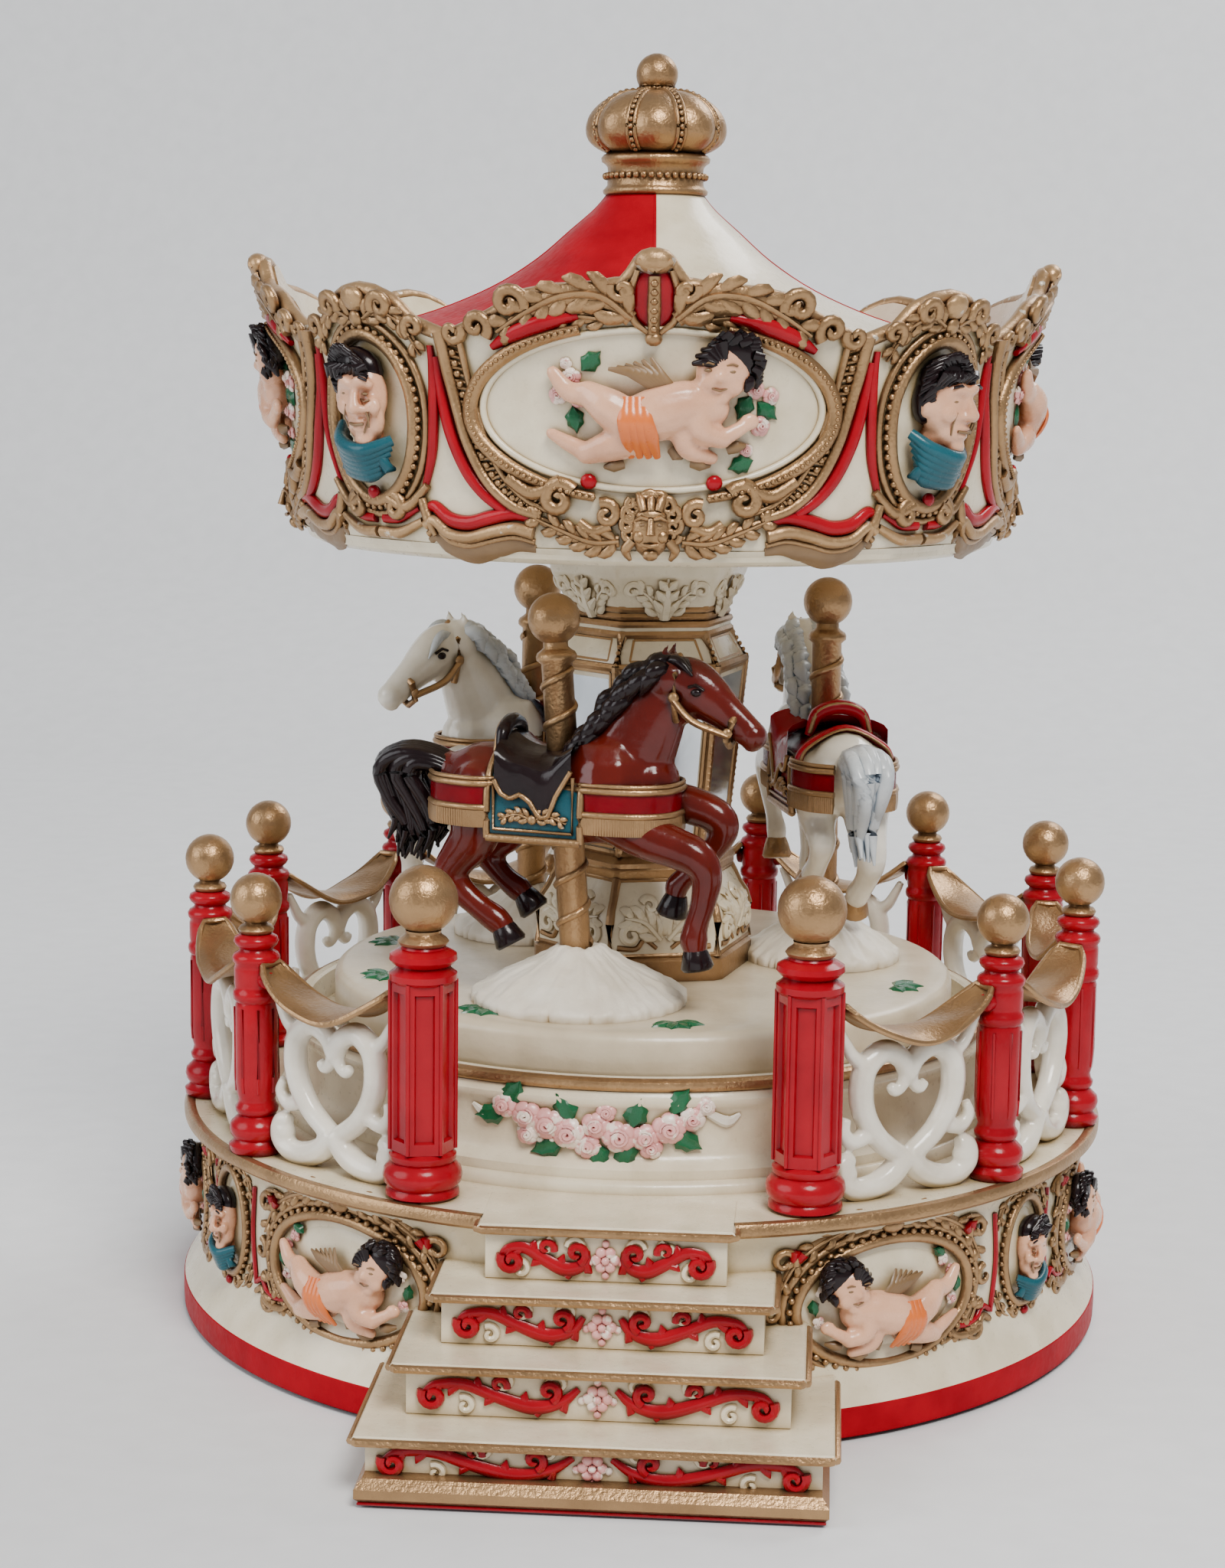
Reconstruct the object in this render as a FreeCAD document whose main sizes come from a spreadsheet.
import FreeCAD, Part
import math
import os
import re

import Sketcher
from FreeCAD import Placement, Rotation, Vector

# Carousel music box. Millimetres, +Z up, the origin at the centre of the underside,
# the stairs towards -Y. Angles round the carousel run from -Y towards +X.

SHEET = "Dimensions"

DIMENSIONS = {
    # drum and deck
    "drum_radius": 75.0,
    "drum_wall_radius": 71.0,
    "deck_rim_radius": 74.8,
    "deck_height": 33.0,
    "skirt_band_height": 5.0,
    "skirt_top_height": 12.0,
    "cavity_radius": 60.0,
    "plate_recess_radius": 64.0,
    "plate_seat_height": 16.0,
    "deck_underside": 29.0,
    # ring wall round the turntable
    "ring_radius": 57.2,
    "ring_inner_radius": 54.5,
    "ring_top": 49.6,
    "ring_cavity_radius": 50.0,
    "well_floor": 45.0,
    "well_floor_thickness": 2.0,
    # stairs
    "step_rise": 8.0,
    "tread_thickness": 1.5,
    "stair_back_radius": 70.0,
    # medallions on the drum
    "medallion_height": 20.0,
    "medallion_half_width": 13.5,
    "medallion_half_height": 8.6,
    "portrait_half_width": 6.2,
    "portrait_half_height": 8.6,
    "medallion_rim": 1.6,
    "medallion_relief": 72.6,
    "medallion_pitch": 24.3,
    # fence
    "post_pitch": 28.4,
    "post_circle": 70.5,
    "entrance_post_circle": 68.5,
    "entrance_half_angle": 23.8,
    "post_ball_radius": 3.9,
    "post_ball_height": 39.1,
    "entrance_ball_radius": 4.7,
    "entrance_ball_height": 43.6,
    "entrance_shaft_radius": 4.9,
    "post_shaft_radius": 3.3,
    "nub_reach": 3.5,
    "nub_radius": 1.4,
    "nub_height": 27.2,
    "rail_end_height": 28.2,
    "rail_sag": 4.0,
    "rail_thickness": 1.6,
    "rail_width": 8.0,
    "scroll_thickness": 3.0,
    "heart_half_width": 7.0,
    "heart_wall": 2.6,
    # turntable
    "disc_radius": 50.4,
    "disc_bottom": 48.0,
    "disc_top": 54.8,
    "disc_edge": 0.8,
    # bearing and drive
    "bush_radius": 4.0,
    "bush_flange_radius": 6.0,
    "bush_flange_top": 45.6,
    "hub_shaft_radius": 2.5,
    "running_clearance": 0.05,
    "hub_flange_radius": 9.0,
    "hub_flange_bottom": 46.2,
    "hub_stud_top": 52.0,
    "hub_screw_circle": 6.2,
    # movement
    "frame_thickness": 2.5,
    "barrel_radius": 12.0,
    "barrel_bottom": 19.2,
    "barrel_top": 31.0,
    "barrel_wall": 1.0,
    "crown_ring_inner": 9.6,
    "crown_ring_height": 0.8,
    "crown_tooth_height": 0.9,
    "crown_tooth_width": 0.6,
    "arbor_radius": 2.0,
    "arbor_bottom": 3.0,
    "arbor_top": 29.4,
    "key_bottom": 1.2,
    "key_top": 12.6,
    "key_half_width": 11.0,
    "key_thickness": 1.8,
    "key_boss_radius": 3.4,
    "plate_thickness": 2.0,
    "cylinder_axis_height": 35.0,
    "cylinder_radius": 6.5,
    "cylinder_start": 16.0,
    "cylinder_end": 34.0,
    "cylinder_arbor_radius": 1.0,
    "pin_radius": 0.22,
    "pin_height": 0.4,
    "comb_thickness": 0.8,
    "comb_tip": 7.0,
    "comb_back": 24.0,
    "idler_offset": 8.0,
    "idler_drop": 4.5,
    "governor_offset": 13.65,
    "governor_station": 41.0,
    # column
    "plinth_radius": 18.0,
    "shaft_foot_radius": 13.0,
    "shaft_shoulder_radius": 16.0,
    "neck_radius": 12.7,
    "capital_radius": 16.0,
    "shaft_foot_height": 74.6,
    "shaft_shoulder_height": 105.0,
    "neck_height": 111.0,
    "canopy_bottom": 123.7,
    "mirror_thickness": 0.4,
    # canopy
    "canopy_rim_radius": 53.6,
    "fascia_foot_radius": 55.6,
    "fascia_mid_radius": 57.2,
    "fascia_crest_radius": 62.4,
    "fascia_thickness": 3.2,
    "canopy_floor_top": 127.0,
    "fascia_shoulder": 156.0,
    "large_crest": 162.0,
    "large_finial": 168.5,
    "narrow_finial": 164.0,
    "roof_seat": 152.0,
    "roof_top": 178.0,
    "roof_thickness": 2.5,
    "large_oval_half_width": 27.0,
    "large_oval_half_height": 13.2,
    "narrow_oval_half_width": 9.6,
    "narrow_oval_half_height": 12.4,
    "canopy_turn": 3.6,
    # crown finial
    "crown_band_radius": 8.3,
    "crown_bulb_radius": 10.6,
    "crown_ball_radius": 3.3,
    "crown_height": 22.0,
    # horses and poles
    "horse_circle": 30.0,
    "first_horse_angle": -15.6,
    "pole_radius": 2.5,
    "pole_ball_radius": 4.0,
    "pole_ball_height": 59.0,
    "pole_collar": 0.6,
    "front_mound_radius": 16.7,
    "bell_mound_radius": 13.0,
    "mound_height": 8.6,
}

doc = FreeCAD.newDocument("CarouselMusicBox")
sheet = doc.addObject("Spreadsheet::Sheet", SHEET)
for row, (alias, amount) in enumerate(DIMENSIONS.items(), start=1):
    sheet.set(f"A{row}", alias)
    sheet.set(f"B{row}", str(amount))
    sheet.setAlias(f"B{row}", alias)
doc.recompute()

subparts = []


# ---------------------------------------------------------------- helpers


def bound(expression):
    """The expression with each dimension's name prefixed by the sheet's name."""
    def prefix(match):
        word = match.group(0)
        return f"{SHEET}.{word}" if word in DIMENSIONS else word
    return re.sub(r"[a-z][a-z_]+", prefix, expression)


def size(expression):
    """The present value of a sheet expression or a plain number."""
    if isinstance(expression, str):
        return float(sheet.evalExpression(bound(expression)))
    return float(expression)


def keep(feature, label):
    """Register a finished sub-part under its file name."""
    feature.Label = label
    subparts.append(feature)
    return feature


def new_body(label):
    body = doc.addObject("PartDesign::Body", label)
    body.Label = label
    return body


def origin_plane(body, role):
    for item in body.Origin.OriginFeatures:
        if item.Role == role:
            return item
    raise LookupError(role)


def constrain_distance(sketch, kind, geometry, point, coordinate):
    """Tie one coordinate of a sketch point to the origin or to a sheet expression."""
    amount = size(coordinate)
    if abs(amount) < 1e-9:
        axis = -2 if kind == "DistanceX" else -1
        sketch.addConstraint(Sketcher.Constraint("PointOnObject", geometry, point, axis))
        return
    index = sketch.addConstraint(Sketcher.Constraint(kind, -1, 1, geometry, point, amount))
    if isinstance(coordinate, str):
        sketch.setExpression(f"Constraints[{index}]", bound(coordinate))


def new_sketch(body, role, name, offset=None):
    sketch = body.newObject("Sketcher::SketchObject", name)
    sketch.AttachmentSupport = [(origin_plane(body, role), "")]
    sketch.MapMode = "FlatFace"
    if offset is not None:
        sketch.setExpression("AttachmentOffset.Base.z", bound(str(offset)))
    return sketch


def polygon_loop(sketch, points):
    """Add a closed loop; a point is (u, v) or (u, v, rise), rise bending the edge after it."""
    first = sketch.GeometryCount
    count = len(points)
    corners = [Vector(size(p[0]), size(p[1]), 0) for p in points]
    for index in range(count):
        start = corners[index]
        end = corners[(index + 1) % count]
        if len(points[index]) == 3:
            side = (end - start).cross(Vector(0, 0, 1)).normalize()
            middle = (start + end) * 0.5 + side * points[index][2]
            circle = Part.Arc(start, middle, end)
            sketch.addGeometry(circle, False)
        else:
            sketch.addGeometry(Part.LineSegment(start, end), False)
    for index in range(count):
        here = first + index
        after = first + (index + 1) % count
        sketch.addConstraint(Sketcher.Constraint("Coincident", here, loop_end(sketch, here, corners,
                                                 index), after, loop_start(sketch, after, corners,
                                                                           index)))
    for index in range(count):
        here = first + index
        point = loop_start(sketch, here, corners, index - 1)
        constrain_distance(sketch, "DistanceX", here, point, points[index][0])
        constrain_distance(sketch, "DistanceY", here, point, points[index][1])
        if len(points[index]) == 3:
            radius = sketch.Geometry[here].Radius
            sketch.addConstraint(Sketcher.Constraint("Radius", here, radius))


def loop_start(sketch, geometry, corners, index):
    """Which end (1 or 2) of an edge lies on the corner that follows corner `index`."""
    corner = corners[(index + 1) % len(corners)]
    start = sketch.getPoint(geometry, 1)
    return 1 if start.distanceToPoint(corner) < 1e-6 else 2


def loop_end(sketch, geometry, corners, index):
    corner = corners[(index + 1) % len(corners)]
    end = sketch.getPoint(geometry, 2)
    return 2 if end.distanceToPoint(corner) < 1e-6 else 1


def circle_loop(sketch, u, v, radius):
    index = sketch.addGeometry(Part.Circle(Vector(size(u), size(v), 0), Vector(0, 0, 1),
                                           size(radius)), False)
    constrain_distance(sketch, "DistanceX", index, 3, u)
    constrain_distance(sketch, "DistanceY", index, 3, v)
    rule = sketch.addConstraint(Sketcher.Constraint("Radius", index, size(radius)))
    if isinstance(radius, str):
        sketch.setExpression(f"Constraints[{rule}]", bound(radius))


def ellipse_loop(sketch, v, half_width, half_height):
    """An upright or lying ellipse centred over the vertical axis of the sketch."""
    wide = size(half_width)
    tall = size(half_height)
    centre = Vector(0, size(v), 0)
    if wide >= tall:
        shape = Part.Ellipse(centre + Vector(wide, 0, 0), centre + Vector(0, tall, 0), centre)
    else:
        shape = Part.Ellipse(centre + Vector(0, tall, 0), centre - Vector(wide, 0, 0), centre)
    index = sketch.addGeometry(shape, False)
    sketch.addConstraint(Sketcher.Constraint("Block", index))


def polygon_sketch(body, role, name, points, offset=None):
    sketch = new_sketch(body, role, name, offset)
    polygon_loop(sketch, points)
    return sketch


def revolve(body, name, points):
    """Turn a closed (radius, height) profile about the body's Z axis."""
    sketch = polygon_sketch(body, "XZ_Plane", f"{name}Profile", points)
    feature = body.newObject("PartDesign::Revolution", name)
    feature.Profile = sketch
    feature.ReferenceAxis = (sketch, ["V_Axis"])
    feature.Angle = 360.0
    return feature


def pad(body, name, sketch, length, midplane=False, reverse=False):
    feature = body.newObject("PartDesign::Pad", name)
    feature.Profile = sketch
    feature.SideType = "Symmetric" if midplane else "One side"
    feature.Reversed = reverse
    feature.setExpression("Length", bound(str(length)))
    return feature


def pocket(body, name, sketch, length, midplane=False, reverse=False):
    feature = body.newObject("PartDesign::Pocket", name)
    feature.Profile = sketch
    feature.SideType = "Symmetric" if midplane else "One side"
    feature.Reversed = reverse
    feature.setExpression("Length", bound(str(length)))
    return feature


def polar_pattern(body, name, feature, count, angle=360.0):
    """Repeat a feature about the body's Z axis."""
    pattern = body.newObject("PartDesign::PolarPattern", name)
    pattern.Originals = [feature]
    pattern.Axis = (origin_plane(body, "Z_Axis"), [""])
    pattern.Angle = angle
    pattern.Occurrences = count
    body.Tip = pattern
    return pattern


def hexagon_points(radius):
    """Six corners of a regular hexagon, two of them on the sketch's horizontal axis."""
    corners = []
    for index in range(6):
        turn = math.radians(60 * index)
        corners.append((f"{radius} * {math.cos(turn):.9f}", f"{radius} * {math.sin(turn):.9f}"))
    return corners


def loft(body, name, sections):
    feature = body.newObject("PartDesign::AdditiveLoft", name)
    feature.Profile = sections[0]
    feature.Sections = sections[1:]
    feature.Ruled = True
    return feature


def around(angle, radius, height=0.0, spin=0.0):
    """Placement on the carousel: local -Y faces outwards, turned on by `spin` degrees."""
    turn = math.radians(angle)
    spot = Vector(radius * math.sin(turn), -radius * math.cos(turn), height)
    return Placement(spot, Rotation(Vector(0, 0, 1), angle + spin))


def part_feature(label, shape, placement=Placement()):
    feature = doc.addObject("Part::Feature", label)
    feature.Shape = shape
    feature.Placement = placement
    return keep(feature, label)


# ---------------------------------------------------------------- base


STEPS = [
    # tread front edge, tread width, riser front face, riser width
    (96.0, 66.0, 94.0, 62.0),
    (89.0, 57.6, 86.5, 53.0),
    (82.5, 48.5, 80.0, 45.0),
    (76.0, 36.8, 75.0, 34.0),
]


def step_box(body, name, front, width, bottom, height):
    """One slab of the stairs, from y = -60 out to its front face."""
    half = width / 2
    sketch = polygon_sketch(body, "XY_Plane", f"{name}Outline",
                            [(-half, -60.0), (-half, -front), (half, -front), (half, -60.0)],
                            offset=bottom)
    return pad(body, name, sketch, height)


def stair_solid():
    """The whole stair block before its back is shaped to the drum."""
    body = new_body("StairSlabs")
    step_box(body, "Plinth", 98.0, 64.0, "0 * step_rise", "step_rise - 5")
    for index, (front, width, riser_front, riser_width) in enumerate(STEPS):
        base = f"{index} * step_rise"
        step_box(body, f"Riser{index}", riser_front, riser_width, base, "step_rise - 0.5")
        top = f"{index + 1} * step_rise + 1 - tread_thickness"
        step_box(body, f"Tread{index}", front, width, top, "tread_thickness")
    return body


def build_base_shell():
    body = new_body("Drum")
    revolve(body, "DrumWall", [
        ("drum_radius", 0.0),
        ("drum_radius", "skirt_band_height"),
        ("drum_radius - 1", "skirt_band_height + 1.4"),
        ("drum_wall_radius + 1.2", "skirt_top_height - 2.5"),
        ("drum_wall_radius", "skirt_top_height"),
        ("drum_wall_radius", "deck_height - 4.5"),
        ("drum_wall_radius + 0.8", "deck_height - 3"),
        ("deck_rim_radius - 1.2", "deck_height - 2"),
        ("deck_rim_radius", "deck_height - 1.4"),
        ("deck_rim_radius", "deck_height - 0.4"),
        ("deck_rim_radius - 0.4", "deck_height"),
        ("ring_radius + 2.6", "deck_height"),
        ("ring_radius + 2.6", "deck_height + 1.2"),
        ("ring_radius + 1.4", "deck_height + 2"),
        ("ring_radius + 1.4", "deck_height + 3.4"),
        ("ring_radius + 0.2", "deck_height + 4.4"),
        ("ring_radius - 0.6", "deck_height + 5"),
        ("ring_radius - 0.6", "ring_top - 4.6"),
        ("ring_radius + 0.3", "ring_top - 3.8"),
        ("ring_radius + 0.3", "ring_top - 2.8"),
        ("ring_radius - 0.4", "ring_top - 2"),
        ("ring_radius", "ring_top - 1.4"),
        ("ring_radius", "ring_top - 0.5"),
        ("ring_radius - 0.5", "ring_top"),
        ("ring_inner_radius + 0.5", "ring_top"),
        ("ring_inner_radius", "ring_top - 0.5"),
        ("ring_inner_radius", "well_floor"),
        ("bush_radius", "well_floor"),
        ("bush_radius", "well_floor - well_floor_thickness"),
        ("ring_cavity_radius", "well_floor - well_floor_thickness"),
        ("ring_cavity_radius + 2", "well_floor - well_floor_thickness - 2"),
        ("ring_cavity_radius + 2", "deck_underside + 2"),
        ("cavity_radius", "deck_underside"),
        ("cavity_radius", "plate_seat_height"),
        ("plate_recess_radius", "plate_seat_height"),
        ("plate_recess_radius", 0.0),
    ])
    medallion_frames(body)
    stairs = stair_solid()
    doc.recompute()
    core = doc.addObject("Part::Cylinder", "StairCore")
    core.setExpression("Radius", bound("stair_back_radius"))
    core.setExpression("Height", bound("deck_height + 4"))
    core.Placement = Placement(Vector(0, 0, -2), Rotation())
    block = doc.addObject("Part::Cut", "StairBlock")
    block.Base = stairs
    block.Tool = core
    keep(block, "stair_block")
    shell = doc.addObject("Part::Cut", "BaseShell")
    shell.Base = body
    shell.Tool = block
    keep(shell, "base_shell")


def medallion_frames(body):
    """Cherub ovals and narrower portrait ovals take turns round the drum wall."""
    for name, half_width, half_height, first, count in (
            ("CherubFrame", "medallion_half_width", "medallion_half_height", 1, 7),
            ("PortraitFrame", "portrait_half_width", "portrait_half_height", 2, 6)):
        start = 9.9 + 24.3 * first
        for index in range(count):
            angle = start + 2 * 24.3 * index
            sketch = new_sketch(body, "XZ_Plane", f"{name}{index}Outline")
            sketch.AttachmentSupport = None
            sketch.MapMode = "Deactivated"
            spot = around(angle, size("cavity_radius + 5"), size("medallion_height"))
            spot.Rotation = spot.Rotation * Rotation(Vector(1, 0, 0), 90)
            sketch.Placement = spot
            ellipse_loop(sketch, 0, f"{half_width} + medallion_rim",
                         f"{half_height} + medallion_rim")
            pad(body, f"{name}{index}", sketch, "medallion_relief - cavity_radius - 5")


def build_bottom_plate():
    body = new_body("BottomPlate")
    revolve(body, "Plate", [
        ("arbor_radius + running_clearance", "plate_seat_height"),
        ("plate_recess_radius", "plate_seat_height"),
        ("plate_recess_radius", "plate_seat_height - plate_thickness"),
        ("arbor_radius + running_clearance", "plate_seat_height - plate_thickness"),
    ])
    holes = new_sketch(body, "XY_Plane", "ScrewHoles")
    for angle in (30, 150, 270):
        turn = math.radians(angle)
        circle_loop(holes, f"{61.9 * math.cos(turn):.6f}", f"{61.9 * math.sin(turn):.6f}", 0.8)
    pocket(body, "ScrewClearance", holes, "plate_seat_height + 1", reverse=True)
    keep(body, "bottom_plate")


def screw_shape(radius, head_radius, head_height, length):
    """A round-head screw, its head below z = 0 and its shank going up."""
    shank = Part.makeCylinder(radius, length, Vector(0, 0, 0))
    head = Part.makeCylinder(head_radius, head_height, Vector(0, 0, -head_height))
    slot = Part.makeBox(2 * head_radius, 0.4, 0.4, Vector(-head_radius, -0.2, -head_height))
    return shank.fuse(head).cut(slot)


def build_plate_screws():
    screw = screw_shape(0.8, 1.7, 1.0, size("plate_thickness"))
    shapes = []
    for angle in (30, 150, 270):
        turn = math.radians(angle)
        copy = screw.copy()
        copy.translate(Vector(61.9 * math.cos(turn), 61.9 * math.sin(turn),
                              size("plate_seat_height - plate_thickness")))
        shapes.append(copy)
    part_feature("bottom_plate_screws", Part.makeCompound(shapes))


# ---------------------------------------------------------------- fence


def neck_points(height_name, neck):
    """End of a turned profile: a neck that runs up into the middle of a ball."""
    return [(neck, height_name), (0.0, height_name)]


def add_ball(body, radius_name, height_name):
    ball = body.newObject("PartDesign::AdditiveSphere", "Ball")
    ball.AttachmentSupport = [(origin_plane(body, "XY_Plane"), "")]
    ball.MapMode = "FlatFace"
    ball.setExpression("Radius", bound(radius_name))
    ball.setExpression("AttachmentOffset.Base.z", bound(height_name))
    return ball


def build_entrance_post(label, angle):
    """Panelled six-sided post with a turned foot, collars and a ball."""
    body = new_body(label)
    revolve(body, "Turned", [
        (0.0, 0.0), (5.0, 0.0), (5.4, 0.6), (5.2, 1.4), (5.7, 2.6), (5.7, 4.2), (5.0, 5.4),
        (4.5, 5.9), (4.6, 6.6), (2.4, 7.0), (2.4, 32.0), (4.5, 32.4), (4.5, 33.2), (3.7, 33.8),
        (4.7, 34.8), (4.7, 35.8), (3.4, 36.6), (3.0, 37.0), (3.2, 37.6), (2.6, 38.3),
        *neck_points("entrance_ball_height", 1.9),
    ])
    add_ball(body, "entrance_ball_radius", "entrance_ball_height")
    outline = polygon_sketch(body, "XY_Plane", "ShaftOutline",
                             hexagon_points("entrance_shaft_radius"), offset=6.4)
    pad(body, "Shaft", outline, 26.2)
    panel = polygon_sketch(body, "XZ_Plane", "PanelOutline",
                           [(-1.5, 9.5), (1.5, 9.5), (1.5, 29.5), (-1.5, 29.5)],
                           offset="entrance_shaft_radius * 0.866 - 0.5")
    recess = pocket(body, "Panel", panel, 1.0, reverse=True)
    polar_pattern(body, "Panels", recess, 6)
    keep(body, label)
    body.Placement = around(angle, size("entrance_post_circle"), size("deck_height"))


def build_fence_post(label, angle):
    """Turned post with ring mouldings, two nubs for the rails and a ball."""
    body = new_body(label)
    revolve(body, "Turned", [
        (0.0, 0.0), (4.0, 0.0), (4.4, 0.8), (4.4, 1.8), (3.6, 2.6), (3.9, 3.4), (4.2, 4.4),
        (3.9, 5.4), (3.0, 6.2), ("post_shaft_radius - 0.5", 7.0), ("post_shaft_radius", 9.0),
        ("post_shaft_radius", 24.0), ("post_shaft_radius + 0.3", 24.8),
        ("post_shaft_radius + 0.3", 29.4), ("post_shaft_radius - 0.7", 30.0),
        ("post_shaft_radius + 0.3", 30.8), ("post_shaft_radius + 0.3", 31.6),
        ("post_shaft_radius - 0.9", 32.3), ("post_shaft_radius - 0.5", 33.2), (2.0, 34.2),
        (2.5, 34.8), (1.7, 35.3),
        *neck_points("post_ball_height", 1.5),
    ])
    add_ball(body, "post_ball_radius", "post_ball_height")
    nub = new_sketch(body, "YZ_Plane", "NubOutline")
    circle_loop(nub, 0.0, "nub_height", "nub_radius")
    pad(body, "Nubs", nub, "2 * nub_reach + 0.4", midplane=True)
    keep(body, label)
    body.Placement = around(angle, size("post_circle"), size("deck_height"))


def heart_points(half_width, top, tip, cleft):
    """A heart outline: two round lobes, a cleft between them and a point below."""
    shoulder = top - half_width / 2
    return [
        (0.0, cleft, -half_width * 0.34),
        (half_width, shoulder, -half_width * 0.16),
        (0.0, tip, -half_width * 0.16),
        (-half_width, shoulder, -half_width * 0.34),
    ]


def build_fence_panel(label, left, right, left_gap, right_gap):
    """A sagging rail over an open heart that stands on two scrolled feet."""
    body = new_body(label)
    span = (right - left).Length
    high = (span - left_gap - right_gap) / 2
    low = -high
    rail = polygon_sketch(body, "XZ_Plane", "RailOutline", [
        (low, "rail_end_height", 0.9 * size("rail_sag")),
        (high, "rail_end_height"),
        (high, "rail_end_height + rail_thickness", -0.9 * size("rail_sag")),
        (low, "rail_end_height + rail_thickness"),
    ])
    pad(body, "Rail", rail, "rail_width", midplane=True)

    heart = new_sketch(body, "XZ_Plane", "HeartOutline")
    outer = size("heart_half_width")
    inner = outer - size("heart_wall")
    polygon_loop(heart, heart_points(outer, 26.0, 4.6, 23.4))
    polygon_loop(heart, heart_points(inner, 22.8, 8.6, 20.4))
    pad(body, "Heart", heart, "scroll_thickness", midplane=True)

    for side, name in ((-1, "LeftFoot"), (1, "RightFoot")):
        foot = polygon_sketch(body, "XZ_Plane", f"{name}Outline", [
            (side * -0.8, 5.0), (side * 0.8, 9.5), (side * 3.4, 9.0), (side * 5.8, 6.2),
            (side * 9.6, 5.2), (side * 11.6, 2.8), (side * 11.4, 0.0), (side * 6.0, 0.0),
            (side * 4.2, 2.4), (side * 1.5, 3.6),
        ])
        pad(body, name, foot, "scroll_thickness", midplane=True)
        ring = new_sketch(body, "XZ_Plane", f"{name}ScrollOutline")
        circle_loop(ring, side * 8.8, 4.4, 2.7)
        pad(body, f"{name}Scroll", ring, "scroll_thickness + 0.8", midplane=True)
    keep(body, label)
    middle = (left + right) * 0.5 + (right - left) * ((left_gap - right_gap) / (2 * span))
    heading = math.degrees(math.atan2(right.y - left.y, right.x - left.x))
    middle.z = size("deck_height")
    body.Placement = Placement(middle, Rotation(Vector(0, 0, 1), heading))


def build_fence():
    """Twelve posts, and a panel in every gap but the one at the stairs."""
    angles = []
    for index in range(12):
        angles.append(size("entrance_half_angle") + index * size("post_pitch"))
    spots = []
    for index, angle in enumerate(angles):
        entrance = index in (0, 11)
        circle = "entrance_post_circle" if entrance else "post_circle"
        spots.append(around(angle, size(circle)).Base)
        if index == 0:
            build_entrance_post("entrance_post_right", angle)
        elif index == 11:
            build_entrance_post("entrance_post_left", angle)
        else:
            build_fence_post(f"fence_post_{index}", angle)
    plain_gap = size("nub_reach") + 0.35
    for index in range(11):
        left_gap = 5.2 if index == 0 else plain_gap
        right_gap = 5.2 if index == 10 else plain_gap
        build_fence_panel(f"fence_panel_{index + 1}", spots[index], spots[index + 1],
                          left_gap, right_gap)


# ---------------------------------------------------------------- movement


def build_bush():
    body = new_body("TurntableBush")
    revolve(body, "Bush", [
        ("hub_shaft_radius + running_clearance", "well_floor - well_floor_thickness"),
        ("bush_radius", "well_floor - well_floor_thickness"),
        ("bush_radius", "well_floor"),
        ("bush_flange_radius", "well_floor"),
        ("bush_flange_radius", "bush_flange_top"),
        ("hub_shaft_radius + running_clearance", "bush_flange_top"),
    ])
    keep(body, "turntable_bush")


def upright(body, name, station, thickness, half_width, centre, height, bore):
    """A bearing post on the movement frame with a bore along X."""
    post = polygon_sketch(body, "YZ_Plane", f"{name}Outline", [
        (centre - half_width, "plate_seat_height + 1"),
        (centre + half_width, "plate_seat_height + 1"),
        (centre + half_width, height + 2.2),
        (centre - half_width, height + 2.2),
    ], offset=station)
    circle_loop(post, centre, height, bore)
    pad(body, name, post, thickness)


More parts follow.
